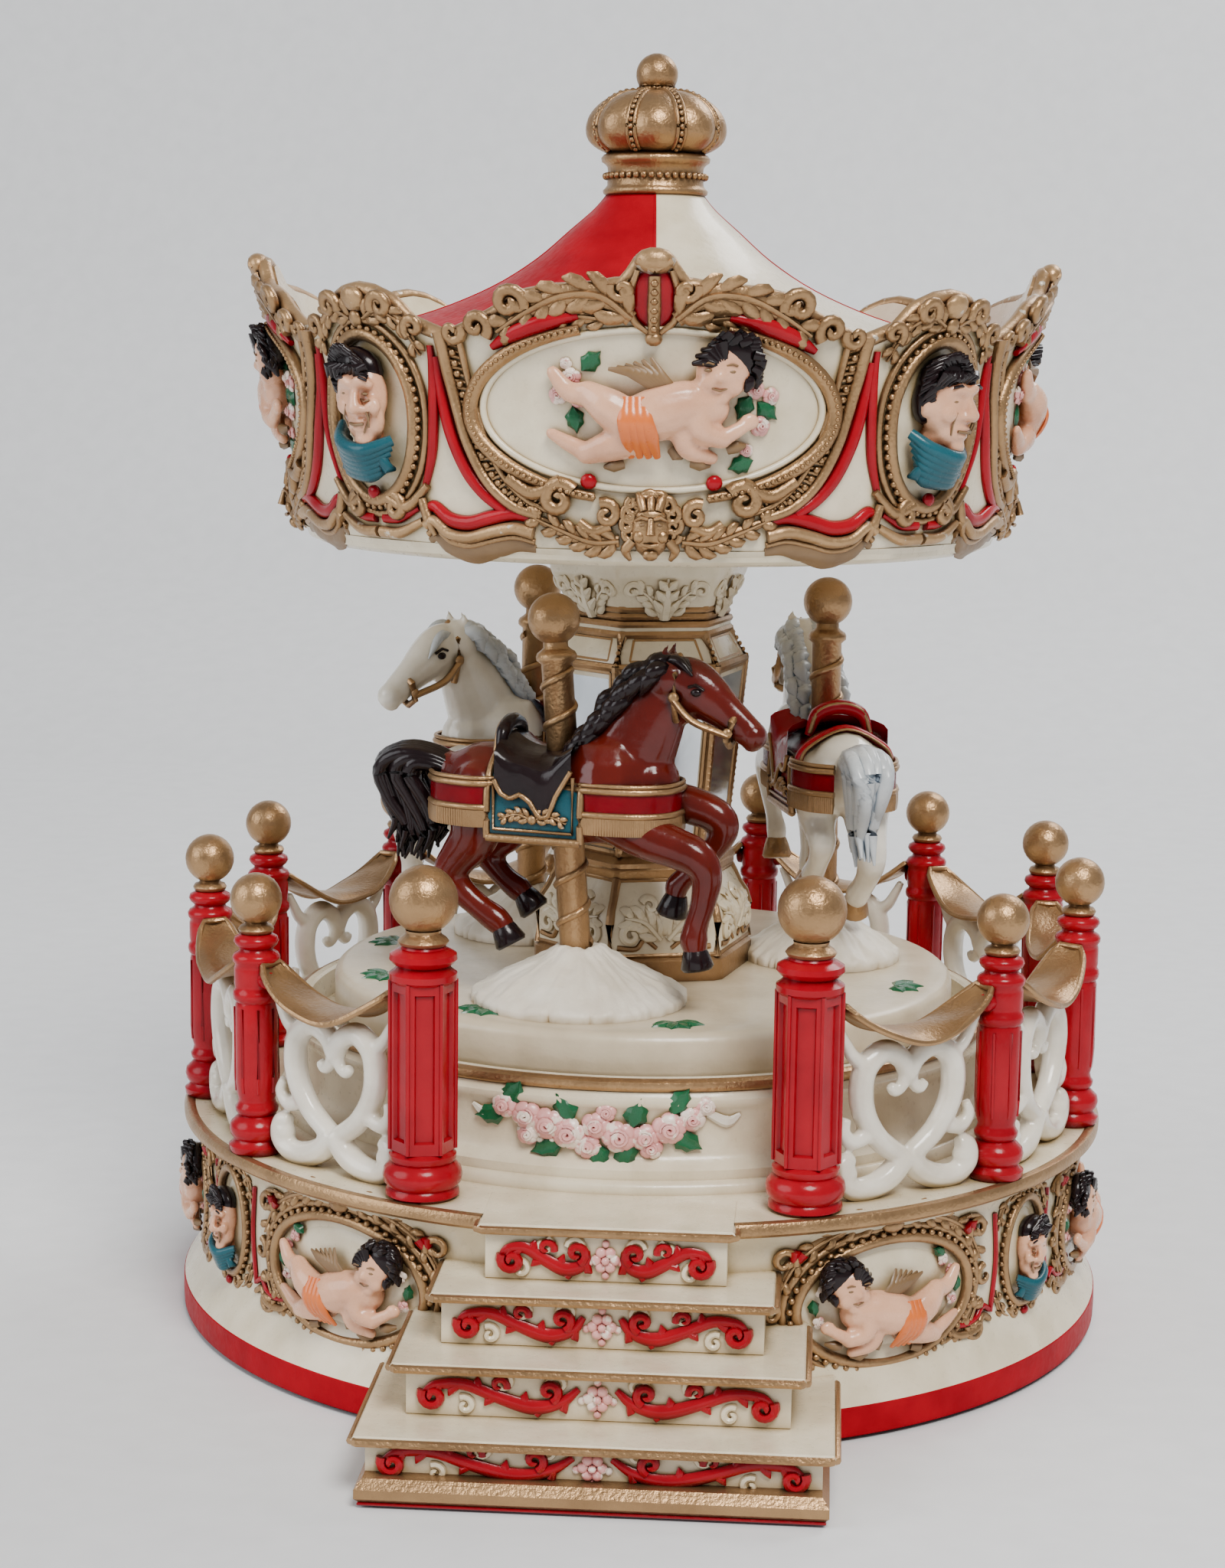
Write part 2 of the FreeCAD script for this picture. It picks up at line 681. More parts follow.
def build_movement_frame():
    """Cast plate with the comb seat, the cylinder's two bearings and the governor's arm."""
    body = new_body("MovementFrame")
    outline = polygon_sketch(body, "XY_Plane", "PlateOutline", [
        (-16.0, -14.0), (-8.0, -25.0), (44.0, -25.0), (47.0, -22.0), (47.0, 17.0),
        (44.0, 20.0), (-8.0, 20.0), (-16.0, 12.0),
    ], offset="plate_seat_height")
    circle_loop(outline, 0.0, 0.0, "arbor_radius + running_clearance")
    for spot in ((-8.0, -15.0), (-8.0, 14.0), (43.0, -20.0)):
        circle_loop(outline, spot[0], spot[1], 1.1)
    pad(body, "Plate", outline, "frame_thickness")

    seat = polygon_sketch(body, "XY_Plane", "CombSeatOutline", [
        ("cylinder_start - 0.5", "-comb_back"), ("cylinder_end + 0.5", "-comb_back"),
        ("cylinder_end + 0.5", -16.5), ("cylinder_start - 0.5", -16.5),
    ], offset="plate_seat_height")
    pad(body, "CombSeat", seat, "cylinder_axis_height - plate_seat_height - comb_thickness / 2")
    axis = size("cylinder_axis_height")
    bore = size("cylinder_arbor_radius") + size("running_clearance")
    upright(body, "InnerBearing", 13.0, 1.6, 3.6, 0.0, axis, bore)
    upright(body, "OuterBearing", 36.8, 1.4, 3.0, 0.0, axis, bore)
    idler = axis - size("idler_drop")
    upright(body, "IdlerInner", 30.2, 1.2, 1.4, size("idler_offset"), idler, 0.65)
    upright(body, "IdlerOuter", 43.6, 1.2, 1.4, size("idler_offset"), idler, 0.65)
    holes = new_sketch(body, "XY_Plane", "CombHoles",
                       offset="cylinder_axis_height - comb_thickness / 2")
    for station in (19.0, 31.0):
        circle_loop(holes, station, -20.5, 0.8)
    pocket(body, "CombTappings", holes, 6.0)
    arm = polygon_sketch(body, "XY_Plane", "GovernorArmOutline", [
        ("governor_station - 2", "governor_offset - 2"),
        ("governor_station + 2", "governor_offset - 2"),
        ("governor_station + 2", 19.4), ("governor_station - 2", 19.4),
    ], offset=34.6)
    circle_loop(arm, "governor_station", "governor_offset", 0.65)
    pad(body, "GovernorArm", arm, 1.2)
    back = polygon_sketch(body, "XY_Plane", "GovernorPostOutline", [
        ("governor_station - 2", 17.6), ("governor_station + 2", 17.6),
        ("governor_station + 2", 19.4), ("governor_station - 2", 19.4),
    ], offset="plate_seat_height")
    pad(body, "GovernorPost", back, 19.8)
    pivot = new_sketch(body, "XY_Plane", "GovernorPivot", offset="plate_seat_height + 2.5")
    circle_loop(pivot, "governor_station", "governor_offset", 0.65)
    pocket(body, "GovernorPivotHole", pivot, 1.2)
    keep(body, "movement_frame")


def build_frame_screws():
    screw = screw_shape(1.05, 2.0, 1.0, 2.5)
    shapes = []
    for spot in ((-8.0, -15.0), (-8.0, 14.0), (43.0, -20.0)):
        copy = screw.copy()
        copy.rotate(Vector(0, 0, 0), Vector(1, 0, 0), 180)
        copy.translate(Vector(spot[0], spot[1], size("plate_seat_height + frame_thickness")))
        shapes.append(copy)
    part_feature("movement_screws", Part.makeCompound(shapes))


def build_comb():
    """Steel comb: eighteen tuned teeth reaching to the cylinder."""
    body = new_body("Comb")
    level = "cylinder_axis_height - comb_thickness / 2"
    outline = polygon_sketch(body, "XY_Plane", "CombOutline", [
        ("cylinder_start", "-comb_back"), ("cylinder_end", "-comb_back"),
        ("cylinder_end", "-comb_tip"), ("cylinder_start", "-comb_tip"),
    ], offset=level)
    for station in (19.0, 31.0):
        circle_loop(outline, station, -20.5, 0.9)
    pad(body, "CombPlate", outline, "comb_thickness")
    slot = polygon_sketch(body, "XY_Plane", "ToothGap", [
        ("cylinder_start + 0.8", -16.2), ("cylinder_start + 1", -16.2),
        ("cylinder_start + 1", "-comb_tip + 0.5"), ("cylinder_start + 0.8", "-comb_tip + 0.5"),
    ], offset=level)
    gap = pocket(body, "ToothGapCut", slot, "comb_thickness", reverse=True)
    pattern = body.newObject("PartDesign::LinearPattern", "Teeth")
    pattern.Originals = [gap]
    pattern.Direction = (origin_plane(body, "X_Axis"), [""])
    pattern.Length = 16.0
    pattern.Occurrences = 17
    body.Tip = pattern
    keep(body, "comb")


def build_comb_screws():
    screw = screw_shape(0.78, 1.6, 0.9, size("comb_thickness") + 5.0)
    shapes = []
    for station in (19.0, 31.0):
        copy = screw.copy()
        copy.rotate(Vector(0, 0, 0), Vector(1, 0, 0), 180)
        copy.translate(Vector(station, -20.5, size("cylinder_axis_height + comb_thickness / 2")))
        shapes.append(copy)
    part_feature("comb_screws", Part.makeCompound(shapes))


def build_barrel():
    body = new_body("SpringBarrel")
    inner = "barrel_radius - barrel_wall"
    revolve(body, "Barrel", [
        ("arbor_radius + running_clearance", "barrel_bottom"),
        ("barrel_radius", "barrel_bottom"),
        ("barrel_radius", "barrel_top"),
        (0.0, "barrel_top"),
        (0.0, "barrel_top - barrel_wall"),
        (inner, "barrel_top - barrel_wall"),
        (inner, "barrel_bottom + barrel_wall"),
        ("arbor_radius + running_clearance", "barrel_bottom + barrel_wall"),
    ])
    keep(body, "spring_barrel")


def build_crown_gear():
    """Toothed ring on top of the barrel, forty-eight upright teeth."""
    body = new_body("CrownGear")
    ring_top = "barrel_top + crown_ring_height"
    revolve(body, "Ring", [
        ("crown_ring_inner", "barrel_top"),
        ("barrel_radius", "barrel_top"),
        ("barrel_radius", ring_top),
        ("crown_ring_inner", ring_top),
    ])
    half = "crown_tooth_width / 2"
    tooth = polygon_sketch(body, "XY_Plane", "ToothOutline", [
        ("crown_ring_inner + 0.2", f"-{half}"), ("barrel_radius - 0.2", f"-{half}"),
        ("barrel_radius - 0.2", half), ("crown_ring_inner + 0.2", half),
    ], offset=ring_top)
    tooth.AttachmentOffset = Placement(tooth.AttachmentOffset.Base,
                                       Rotation(Vector(0, 0, 1), 3.75))
    first = pad(body, "Tooth", tooth, "crown_tooth_height")
    polar_pattern(body, "Teeth", first, 48)
    keep(body, "crown_gear")


def build_mainspring():
    """Flat coiled strip between the arbor and the barrel wall."""
    start = size("arbor_radius") + 0.15
    end = size("barrel_radius") - size("barrel_wall") - 0.65
    turns = 9
    strip = 0.35
    inner = []
    outer = []
    for index in range(turns * 16 + 1):
        share = index / (turns * 16)
        turn = 2 * math.pi * turns * share
        radius = start + (end - start) * share
        inner.append(Vector(radius * math.cos(turn), radius * math.sin(turn), 0))
        outer.append(Vector((radius + strip) * math.cos(turn), (radius + strip) * math.sin(turn), 0))
    edge_in = Part.BSplineCurve()
    edge_in.interpolate(inner)
    edge_out = Part.BSplineCurve()
    edge_out.interpolate(outer)
    wire = Part.Wire([edge_in.toShape(), Part.makeLine(inner[-1], outer[-1]),
                      edge_out.toShape(), Part.makeLine(outer[0], inner[0])])
    height = size("barrel_top - barrel_bottom - 2 * barrel_wall") - 1.0
    coil = Part.Face(wire).extrude(Vector(0, 0, height))
    part_feature("mainspring", coil,
                 Placement(Vector(0, 0, size("barrel_bottom + barrel_wall") + 0.5), Rotation()))


def build_drive_hub():
    body = new_body("DriveHub")
    revolve(body, "Hub", [
        (0.0, "barrel_top"),
        ("hub_shaft_radius + 2", "barrel_top"),
        ("hub_shaft_radius + 2", "barrel_top + 1.2"),
        ("hub_shaft_radius", "barrel_top + 1.8"),
        ("hub_shaft_radius", "hub_flange_bottom"),
        ("hub_flange_radius", "hub_flange_bottom"),
        ("hub_flange_radius", "disc_bottom"),
        ("hub_shaft_radius", "disc_bottom"),
        ("hub_shaft_radius", "hub_stud_top"),
        (0.0, "hub_stud_top"),
    ])
    holes = new_sketch(body, "XY_Plane", "HubHoles", offset="disc_bottom")
    for angle in (90, 210, 330):
        turn = math.radians(angle)
        circle_loop(holes, f"hub_screw_circle * {math.cos(turn):.9f}",
                    f"hub_screw_circle * {math.sin(turn):.9f}", 0.75)
    pocket(body, "HubScrewHoles", holes, "disc_bottom - hub_flange_bottom")
    keep(body, "drive_hub")


def build_hub_screws():
    screw = screw_shape(0.75, 1.4, 0.5, size("disc_bottom - hub_flange_bottom") + 3.0)
    circle = size("hub_screw_circle")
    shapes = []
    for angle in (90, 210, 330):
        turn = math.radians(angle)
        copy = screw.copy()
        copy.translate(Vector(circle * math.cos(turn), circle * math.sin(turn),
                              size("hub_flange_bottom")))
        shapes.append(copy)
    part_feature("hub_screws", Part.makeCompound(shapes))


def build_winding_arbor():
    body = new_body("WindingArbor")
    revolve(body, "Arbor", [
        (0.0, "key_top"),
        ("arbor_radius", "key_top"),
        ("arbor_radius", "arbor_top"),
        (0.0, "arbor_top"),
    ])
    keep(body, "winding_arbor")


def build_winding_key():
    """Butterfly key: a boss with two flat wings."""
    body = new_body("WindingKey")
    revolve(body, "Boss", [
        (0.0, "key_bottom + 2"), ("key_boss_radius - 1", "key_bottom + 2"),
        ("key_boss_radius", "key_bottom + 3"), ("key_boss_radius", "key_top - 0.6"),
        ("key_boss_radius - 0.6", "key_top"), (0.0, "key_top"),
    ])
    for side, name in ((-1, "LeftWing"), (1, "RightWing")):
        wing = polygon_sketch(body, "XZ_Plane", f"{name}Outline", [
            (side * 0.5, "key_bottom + 5"), (side * 3.0, "key_bottom + 2"),
            (side * 6.5, "key_bottom"), (f"{side} * key_half_width + {-side * 1.5}", "key_bottom"),
            (f"{side} * key_half_width", "key_bottom + 2"),
            (f"{side} * key_half_width", "key_bottom + 6.5"),
            (f"{side} * key_half_width + {-side * 2.5}", "key_bottom + 9"),
            (side * 4.0, "key_bottom + 9"), (side * 0.5, "key_top - 1.5"),
        ])
        circle_loop(wing, side * 7.0, "key_bottom + 4.6", 1.7)
        pad(body, name, wing, "key_thickness", midplane=True)
    keep(body, "winding_key")


def gear_shape(teeth, root, tip, thickness, root_width, tip_width, phase):
    """Spur wheel with straight-sided teeth, its axis along +X."""
    points = []
    for index in range(teeth):
        turn = math.radians(phase + 360 * index / teeth)
        for radius, width in ((root, -root_width), (tip, -tip_width), (tip, tip_width),
                              (root, root_width)):
            angle = turn + width / radius / 2
            points.append(Vector(0, radius * math.cos(angle), radius * math.sin(angle)))
    outline = Part.makePolygon(points + [points[0]])
    return Part.Face(outline).extrude(Vector(thickness, 0, 0))


def along_x(radius, start, end):
    return Part.makeCylinder(radius, end - start, Vector(start, 0, 0), Vector(1, 0, 0))


def mesh_angle():
    """Direction from the cylinder's axis to the idler's, in the plane across X."""
    return math.degrees(math.atan2(-size("idler_drop"), size("idler_offset")))


def build_music_cylinder():
    """Pinned cylinder with its crown pinion, its great wheel and its arbor."""
    arbor = size("cylinder_arbor_radius")
    radius = size("cylinder_radius")
    begin = size("cylinder_start")
    finish = size("cylinder_end")
    shape = along_x(arbor, 9.4, 38.4)
    pinion = gear_shape(12, 2.1, 3.05, 2.4, 0.7, 0.36, 90.0)
    pinion.translate(Vector(9.8, 0, 0))
    wheel = gear_shape(36, 6.75, 7.5, 1.2, 0.56, 0.3, mesh_angle())
    wheel.translate(Vector(finish + 0.6, 0, 0))
    boss = along_x(2.2, finish, finish + 0.6)
    shape = shape.multiFuse([pinion, wheel, boss, along_x(radius, begin, finish)])
    pins = []
    for index in range(54):
        tooth = index % 18
        turn = math.radians(47.0 * index + 11.0 * tooth)
        out = Vector(0, math.cos(turn), math.sin(turn))
        base = Vector(begin + 0.4 + tooth, 0, 0) + out * (radius - 0.8)
        pins.append(Part.makeCylinder(size("pin_radius"), 0.8 + size("pin_height"), base, out))
    shape = shape.multiFuse(pins)
    part_feature("music_cylinder", shape,
                 Placement(Vector(0, 0, size("cylinder_axis_height")), Rotation()))


def build_idler():
    """Idler arbor: a nine-leaf pinion and the worm wheel."""
    pinion = gear_shape(9, 1.25, 2.1, 1.6, 0.52, 0.3, mesh_angle() + 180 + 20)
    pinion.translate(Vector(34.4, 0, 0))
    wheel = gear_shape(20, 3.5, 4.2, 1.2, 0.6, 0.32, 0.0)
    wheel.translate(Vector(size("governor_station") - 0.6, 0, 0))
    shape = along_x(0.6, 30.0, 45.0).multiFuse([pinion, wheel, along_x(1.0, 36.0, 40.4)])
    part_feature("idler_arbor", shape,
                 Placement(Vector(0, size("idler_offset"),
                                  size("cylinder_axis_height - idler_drop")), Rotation()))


def build_governor():
    """Upright worm with a two-bladed air brake above it."""
    low = size("plate_seat_height") + 1.6
    level = size("cylinder_axis_height - idler_drop")
    pitch = 2 * math.pi * 4.0 / 20
    shape = Part.makeCylinder(0.6, 24.4, Vector(0, 0, low))
    start = level - 2.25 * pitch
    core = Part.makeCylinder(1.05, 6 * pitch, Vector(0, 0, level - 3 * pitch))
    helix = Part.makeHelix(pitch, 5 * pitch, 1.0)
    helix.translate(Vector(0, 0, start))
    thread = Part.makePolygon([Vector(0.9, 0, -0.3), Vector(1.5, 0, -0.1), Vector(1.5, 0, 0.1),
                               Vector(0.9, 0, 0.3), Vector(0.9, 0, -0.3)])
    thread.translate(Vector(0, 0, start))
    screw = Part.Wire(helix.Edges).makePipeShell([thread], True, True)
    hub = Part.makeCylinder(1.4, 4.0, Vector(0, 0, 36.6))
    blades = Part.makeBox(9.0, 0.5, 4.6, Vector(-4.5, -0.25, 36.8))
    shape = shape.multiFuse([core, screw, hub, blades])
    part_feature("governor_fan", shape,
                 Placement(Vector(size("governor_station"), size("governor_offset"), 0),
                           Rotation()))


# ---------------------------------------------------------------- turntable and column


def build_disc():
    body = new_body("TurntableDisc")
    revolve(body, "Disc", [
        ("hub_shaft_radius", "disc_bottom"),
        ("disc_radius - 0.5", "disc_bottom"),
        ("disc_radius", "disc_bottom + 0.5"),
        ("disc_radius", "disc_top - disc_edge"),
        ("disc_radius - disc_edge", "disc_top"),
        (0.0, "disc_top"),
        (0.0, "hub_stud_top"),
        ("hub_shaft_radius", "hub_stud_top"),
    ])
    holes = new_sketch(body, "XY_Plane", "ScrewPilots", offset="disc_bottom")
    for angle in (90, 210, 330):
        turn = math.radians(angle)
        circle_loop(holes, f"hub_screw_circle * {math.cos(turn):.9f}",
                    f"hub_screw_circle * {math.sin(turn):.9f}", 0.75)
    pocket(body, "ScrewPilotHoles", holes, 3.0, reverse=True)
    keep(body, "turntable_disc")


COLUMN_TURN = 15.65

# height above the underside and corner radius of each six-sided section
COLUMN_SECTIONS = [
    ("disc_top", "plinth_radius"),
    ("disc_top + 3.6", "plinth_radius"),
    ("disc_top + 4", "plinth_radius - 0.7"),
    ("disc_top + 9.4", "plinth_radius - 0.6"),
    ("disc_top + 13", "plinth_radius - 2.2"),
    ("disc_top + 16", "plinth_radius - 3.8"),
    ("disc_top + 16.6", "plinth_radius - 3.2"),
    ("shaft_foot_height - 1.2", "plinth_radius - 3.2"),
    ("shaft_foot_height - 0.8", "shaft_foot_radius + 0.6"),
    ("shaft_foot_height", "shaft_foot_radius"),
    ("shaft_shoulder_height", "shaft_shoulder_radius"),
    ("neck_height - 1.2", "neck_radius + 0.2"),
    ("neck_height - 1", "neck_radius + 0.7"),
    ("neck_height + 0.2", "neck_radius + 0.7"),
    ("neck_height + 0.6", "neck_radius - 0.1"),
    ("neck_height + 2", "neck_radius + 0.2"),
    ("neck_height + 8", "capital_radius - 0.4"),
    ("neck_height + 8.4", "capital_radius + 0.2"),
    ("neck_height + 10", "capital_radius + 0.2"),
    ("canopy_bottom", "capital_radius - 2"),
]


def build_column():
    body = new_body("Column")
    sections = []
    for index, (height, radius) in enumerate(COLUMN_SECTIONS):
        sections.append(polygon_sketch(body, "XY_Plane", f"Section{index}",
                                       hexagon_points(f"({radius})"), offset=height))
    loft(body, "ColumnLoft", sections)
    body.Placement = Placement(Vector(), Rotation(Vector(0, 0, 1), COLUMN_TURN))
    return keep(body, "column")


def build_mirrors():
    """Six thin mirrors, one on each tapering face of the shaft."""
    foot = size("shaft_foot_height")
    shoulder = size("shaft_shoulder_height")
    foot_radius = size("shaft_foot_radius")
    growth = (size("shaft_shoulder_radius") - foot_radius) / (shoulder - foot)
    panels = []
    for index in range(6):
        corners = []
        for height, side in ((foot + 2, -1), (foot + 2, 1), (shoulder - 2, 1), (shoulder - 2, -1)):
            radius = foot_radius + growth * (height - foot)
            corners.append(Vector(radius * math.cos(math.pi / 6), side * (radius / 2 - 1.5),
                                  height))
        face = Part.Face(Part.makePolygon(corners + [corners[0]]))
        normal = Vector(1, 0, -growth * math.cos(math.pi / 6)).normalize()
        panel = face.extrude(normal * size("mirror_thickness"))
        panel.rotate(Vector(), Vector(0, 0, 1), 30 + 60 * index)
        panels.append(panel)
    part_feature("mirror_panels", Part.makeCompound(panels),
                 Placement(Vector(), Rotation(Vector(0, 0, 1), COLUMN_TURN)))


# ---------------------------------------------------------------- canopy


def crest_cut(body, name, points, turn):
    """Shape the fascia's top edge over one panel and repeat it on all four sides."""
    sketch = new_sketch(body, "XZ_Plane", f"{name}Outline")
    sketch.AttachmentOffset = Placement(Vector(), Rotation(Vector(0, 1, 0), turn))
    mirrored = [(-u if isinstance(u, float) else f"-1 * ({u})", v) for u, v in reversed(points)]
    polygon_loop(sketch, points + mirrored)
    cut = pocket(body, name, sketch, 70.0, reverse=True)
    doc.recompute()
    return polar_pattern(body, f"{name}Sides", cut, 4)


def oval_ring(body, name, angle, half_width, half_height, centre):
    """An elliptical ring standing out from the canopy's side."""
    sketch = new_sketch(body, "XZ_Plane", f"{name}Outline", offset="canopy_rim_radius - 10")
    sketch.AttachmentOffset = Placement(Vector(0, centre, size("canopy_rim_radius - 10")),
                                        Rotation())
    ellipse_loop(sketch, 0, f"{half_width} + 1.5", f"{half_height} + 1.5")
    ellipse_loop(sketch, 0, half_width, half_height)
    ring = pad(body, name, sketch, 30.0)
    polar_pattern(body, f"{name}Sides", ring, 4)
    body.Placement = Placement(Vector(), Rotation(Vector(0, 0, 1), angle))


def build_fascia():
    """Leaning canopy wall with a floor, a shaped crest and raised oval frames."""
    body = new_body("FasciaWall")
    crest = "fascia_crest_radius"
    wall = "fascia_thickness"
    revolve(body, "Fascia", [
        (0.0, "canopy_bottom"),
        ("canopy_rim_radius - 3", "canopy_bottom"),
        ("canopy_rim_radius", "canopy_bottom + 0.9"),
        ("fascia_foot_radius - 0.4", "canopy_floor_top"),
        ("fascia_foot_radius", "canopy_floor_top + 3"),
        ("fascia_mid_radius", "canopy_floor_top + 16"),
        ("fascia_mid_radius + 0.8", "fascia_shoulder - 4"),
        (crest, "fascia_shoulder + 10"),
        (crest, "fascia_shoulder + 14"),
        (f"{crest} - 2.6", "fascia_shoulder + 14"),
        (f"{crest} - 3", "fascia_shoulder + 10"),
        ("fascia_mid_radius - 1", "fascia_shoulder"),
        ("fascia_mid_radius - 2", "roof_seat"),
        ("fascia_mid_radius - 4", "roof_seat"),
        (f"fascia_foot_radius - {wall}", "canopy_floor_top + 1"),
        (f"fascia_foot_radius - {wall} - 1", "canopy_floor_top"),
        (0.0, "canopy_floor_top"),
    ])
    crest_cut(body, "LargeCrest", [
        (30.0, "fascia_shoulder + 16"), (30.0, "fascia_shoulder"), (26.4, "fascia_shoulder + 1"),
        (20.6, "large_crest"), (8.0, "large_crest + 1.5"), (4.5, "large_finial - 2"),
        (2.5, "large_finial"),
    ], 0.0)
    crest_cut(body, "NarrowCrest", [
        (15.2, "fascia_shoulder + 16"), (15.2, "fascia_shoulder"),
        (11.4, "fascia_shoulder + 1.5"), (8.0, "narrow_finial - 3"), (3.0, "narrow_finial"),
    ], 45.0)

    skin = new_body("FrameSkin")
    revolve(skin, "Skin", [
        ("fascia_foot_radius - 1", "canopy_floor_top + 1"),
        ("fascia_foot_radius + 1.2", "canopy_floor_top + 1"),
        ("fascia_mid_radius + 1.4", "canopy_floor_top + 16"),
        ("fascia_crest_radius - 0.4", "fascia_shoulder + 5"),
        ("fascia_crest_radius - 3.4", "fascia_shoulder + 5"),
        ("fascia_mid_radius - 1", "canopy_floor_top + 16"),
    ])
    large = new_body("LargeOvals")
    oval_ring(large, "LargeOval", 0.0, "large_oval_half_width", "large_oval_half_height", 145.8)
    narrow = new_body("NarrowOvals")
    oval_ring(narrow, "NarrowOval", 45.0, "narrow_oval_half_width", "narrow_oval_half_height",
              144.0)
    doc.recompute()
    parts = [body]
    for name, ovals in (("LargeFrames", large), ("NarrowFrames", narrow)):
        frames = doc.addObject("Part::MultiCommon", name)
        frames.Shapes = [skin, ovals]
        parts.append(frames)
        skin = doc.copyObject(skin, True)
    fascia = doc.addObject("Part::MultiFuse", "CanopyFascia")
    fascia.Shapes = parts
    fascia.Placement = Placement(Vector(), Rotation(Vector(0, 0, 1), size("canopy_turn")))
    keep(fascia, "canopy_fascia")


def build_roof():
    """Hollow tent-shaped roof."""
    body = new_body("CanopyRoof")
    edge = "fascia_mid_radius - 2.2"
    revolve(body, "Roof", [
        (0.0, "roof_top"), (7.9, "roof_top"), (10.0, "roof_top - 2.6"), (13.2, "roof_top - 5.2"),
        (18.5, "roof_top - 10.1"), (25.5, "roof_top - 14.5"), (34.7, "roof_top - 18.4"),
        (45.0, "roof_top - 21.4"), (edge, "roof_top - 23.6"), (edge, "roof_seat"),
        (50.0, "roof_seat"), (34.0, "roof_top - 18.4 - roof_thickness"),
        (24.0, "roof_top - 14.5 - roof_thickness"), (16.5, "roof_top - 10.4 - roof_thickness"),
        (8.0, "roof_top - 4 - roof_thickness"), (0.0, "roof_top - 3 - roof_thickness"),
    ])
    keep(body, "canopy_roof")
    body.Placement = Placement(Vector(), Rotation(Vector(0, 0, 1), size("canopy_turn")))


def build_crown():
    """Crown finial: banded foot, ribbed bulb, neck and ball."""
    body = new_body("CrownFinial")
    revolve(body, "Crown", [
        (0.0, 0.0), ("crown_band_radius - 0.4", 0.0), ("crown_band_radius", 0.7),
        ("crown_band_radius - 0.5", 1.4), ("crown_band_radius - 0.6", 4.6),
        ("crown_band_radius + 0.2", 5.2), ("crown_band_radius + 0.2", 6.0),
        ("crown_band_radius - 0.9", 6.6), ("crown_bulb_radius - 1.6", 7.6),
        ("crown_bulb_radius - 0.3", 9.2), ("crown_bulb_radius", 10.6),
        ("crown_bulb_radius - 0.5", 12.2), ("crown_bulb_radius - 2.2", 14.2),
        ("crown_bulb_radius - 5.4", 16.0), (2.6, 16.8), (2.2, 17.3),
        *neck_points("crown_height - crown_ball_radius", 1.9),
    ])
    add_ball(body, "crown_ball_radius", "crown_height - crown_ball_radius")
    rib = polygon_sketch(body, "XZ_Plane", "RibOutline", [
        (6.0, 6.4), ("crown_bulb_radius - 1.1", 7.2), ("crown_bulb_radius + 0.3", 9.0),
        ("crown_bulb_radius + 0.7", 10.6), ("crown_bulb_radius + 0.2", 12.4),
        ("crown_bulb_radius - 1.6", 14.7), ("crown_bulb_radius - 5", 16.6), (3.0, 16.0),
    ])
    first = pad(body, "Rib", rib, 1.3, midplane=True)
    polar_pattern(body, "Ribs", first, 8)
    keep(body, "crown_finial")
    body.Placement = Placement(Vector(0, 0, size("roof_top")),
                               Rotation(Vector(0, 0, 1), size("canopy_turn") + 22.5))


# ---------------------------------------------------------------- horses, poles and mounds


# name, angle round the carousel, lean of the pole, how far the horse sits back from the foot
RIDERS = [
    ("front", 0, -4.7, -2.9),
    ("right", 1, 1.0, 0.6),
    ("back", 2, -1.0, -0.6),
]

# x along the horse, z above the underside, radius of the round section there
TORSO = [
    (-19.0, 92.5, 2.2), (-16.5, 90.8, 5.6), (-10.0, 88.8, 7.0), (-1.0, 87.4, 6.6),
    (7.0, 88.0, 6.9), (12.5, 89.4, 5.8), (15.8, 90.6, 2.6),
]
NECK = [(7.5, 89.0, 6.0), (12.0, 97.5, 4.3), (14.3, 103.0, 3.5), (15.8, 107.4, 2.2)]
HEAD = [(14.0, 107.0, 2.0), (18.5, 105.2, 3.0), (24.0, 101.2, 2.2), (30.0, 96.8, 1.4)]
TAIL = [
    (-17.0, 92.5, 1.6), (-22.0, 96.0, 2.0), (-27.5, 95.4, 2.4), (-30.6, 89.0, 2.4),
    (-30.0, 81.0, 1.8), (-27.0, 76.0, 0.7),
]
NEAR_FORELEG = [
    (9.0, 88.0, 3.6), (17.5, 84.6, 2.8), (23.0, 82.0, 2.0), (21.8, 75.0, 1.4),
    (20.4, 66.0, 1.3), (20.7, 61.8, 2.1),
]
FAR_FORELEG = [
    (9.0, 87.0, 3.4), (17.0, 82.4, 2.4), (20.5, 79.5, 1.8), (15.5, 73.0, 1.3),
    (13.4, 68.0, 1.3), (13.6, 64.8, 1.9),
]
NEAR_HINDLEG = [
    (-13.5, 89.0, 5.0), (-13.6, 80.0, 3.3), (-17.6, 75.5, 1.9), (-12.0, 69.0, 1.4),
    (-8.4, 65.8, 1.5), (-7.0, 63.2, 2.0),
]
FAR_HINDLEG = [
    (-13.0, 89.0, 4.8), (-12.4, 81.0, 3.1), (-16.4, 77.5, 1.8), (-12.2, 72.0, 1.4),
    (-9.6, 69.4, 1.4), (-8.6, 67.4, 1.8),
]
LEG_SPREAD = 3.6


def tube(stations, side=0.0):
    """A solid of round sections along a bent path, its far end drawn in to a blunt tip."""
    spots = [Vector(x, side, z) for x, z, radius in stations]
    radii = [radius for x, z, radius in stations]
    tip = (spots[-1] - spots[-2]).normalize()
    last = radii[-1]
    spots += [spots[-1] + tip * (0.6 * last), spots[-1] + tip * (0.9 * last)]
    radii += [0.75 * last, 0.3 * last]
    rings = []
    for index, spot in enumerate(spots):
        before = spots[max(index - 1, 0)]
        after = spots[min(index + 1, len(spots) - 1)]
        circle = Part.Circle(spot, after - before, radii[index])
        rings.append(Part.Wire(circle.toShape()))
    return Part.makeLoft(rings, True, True)


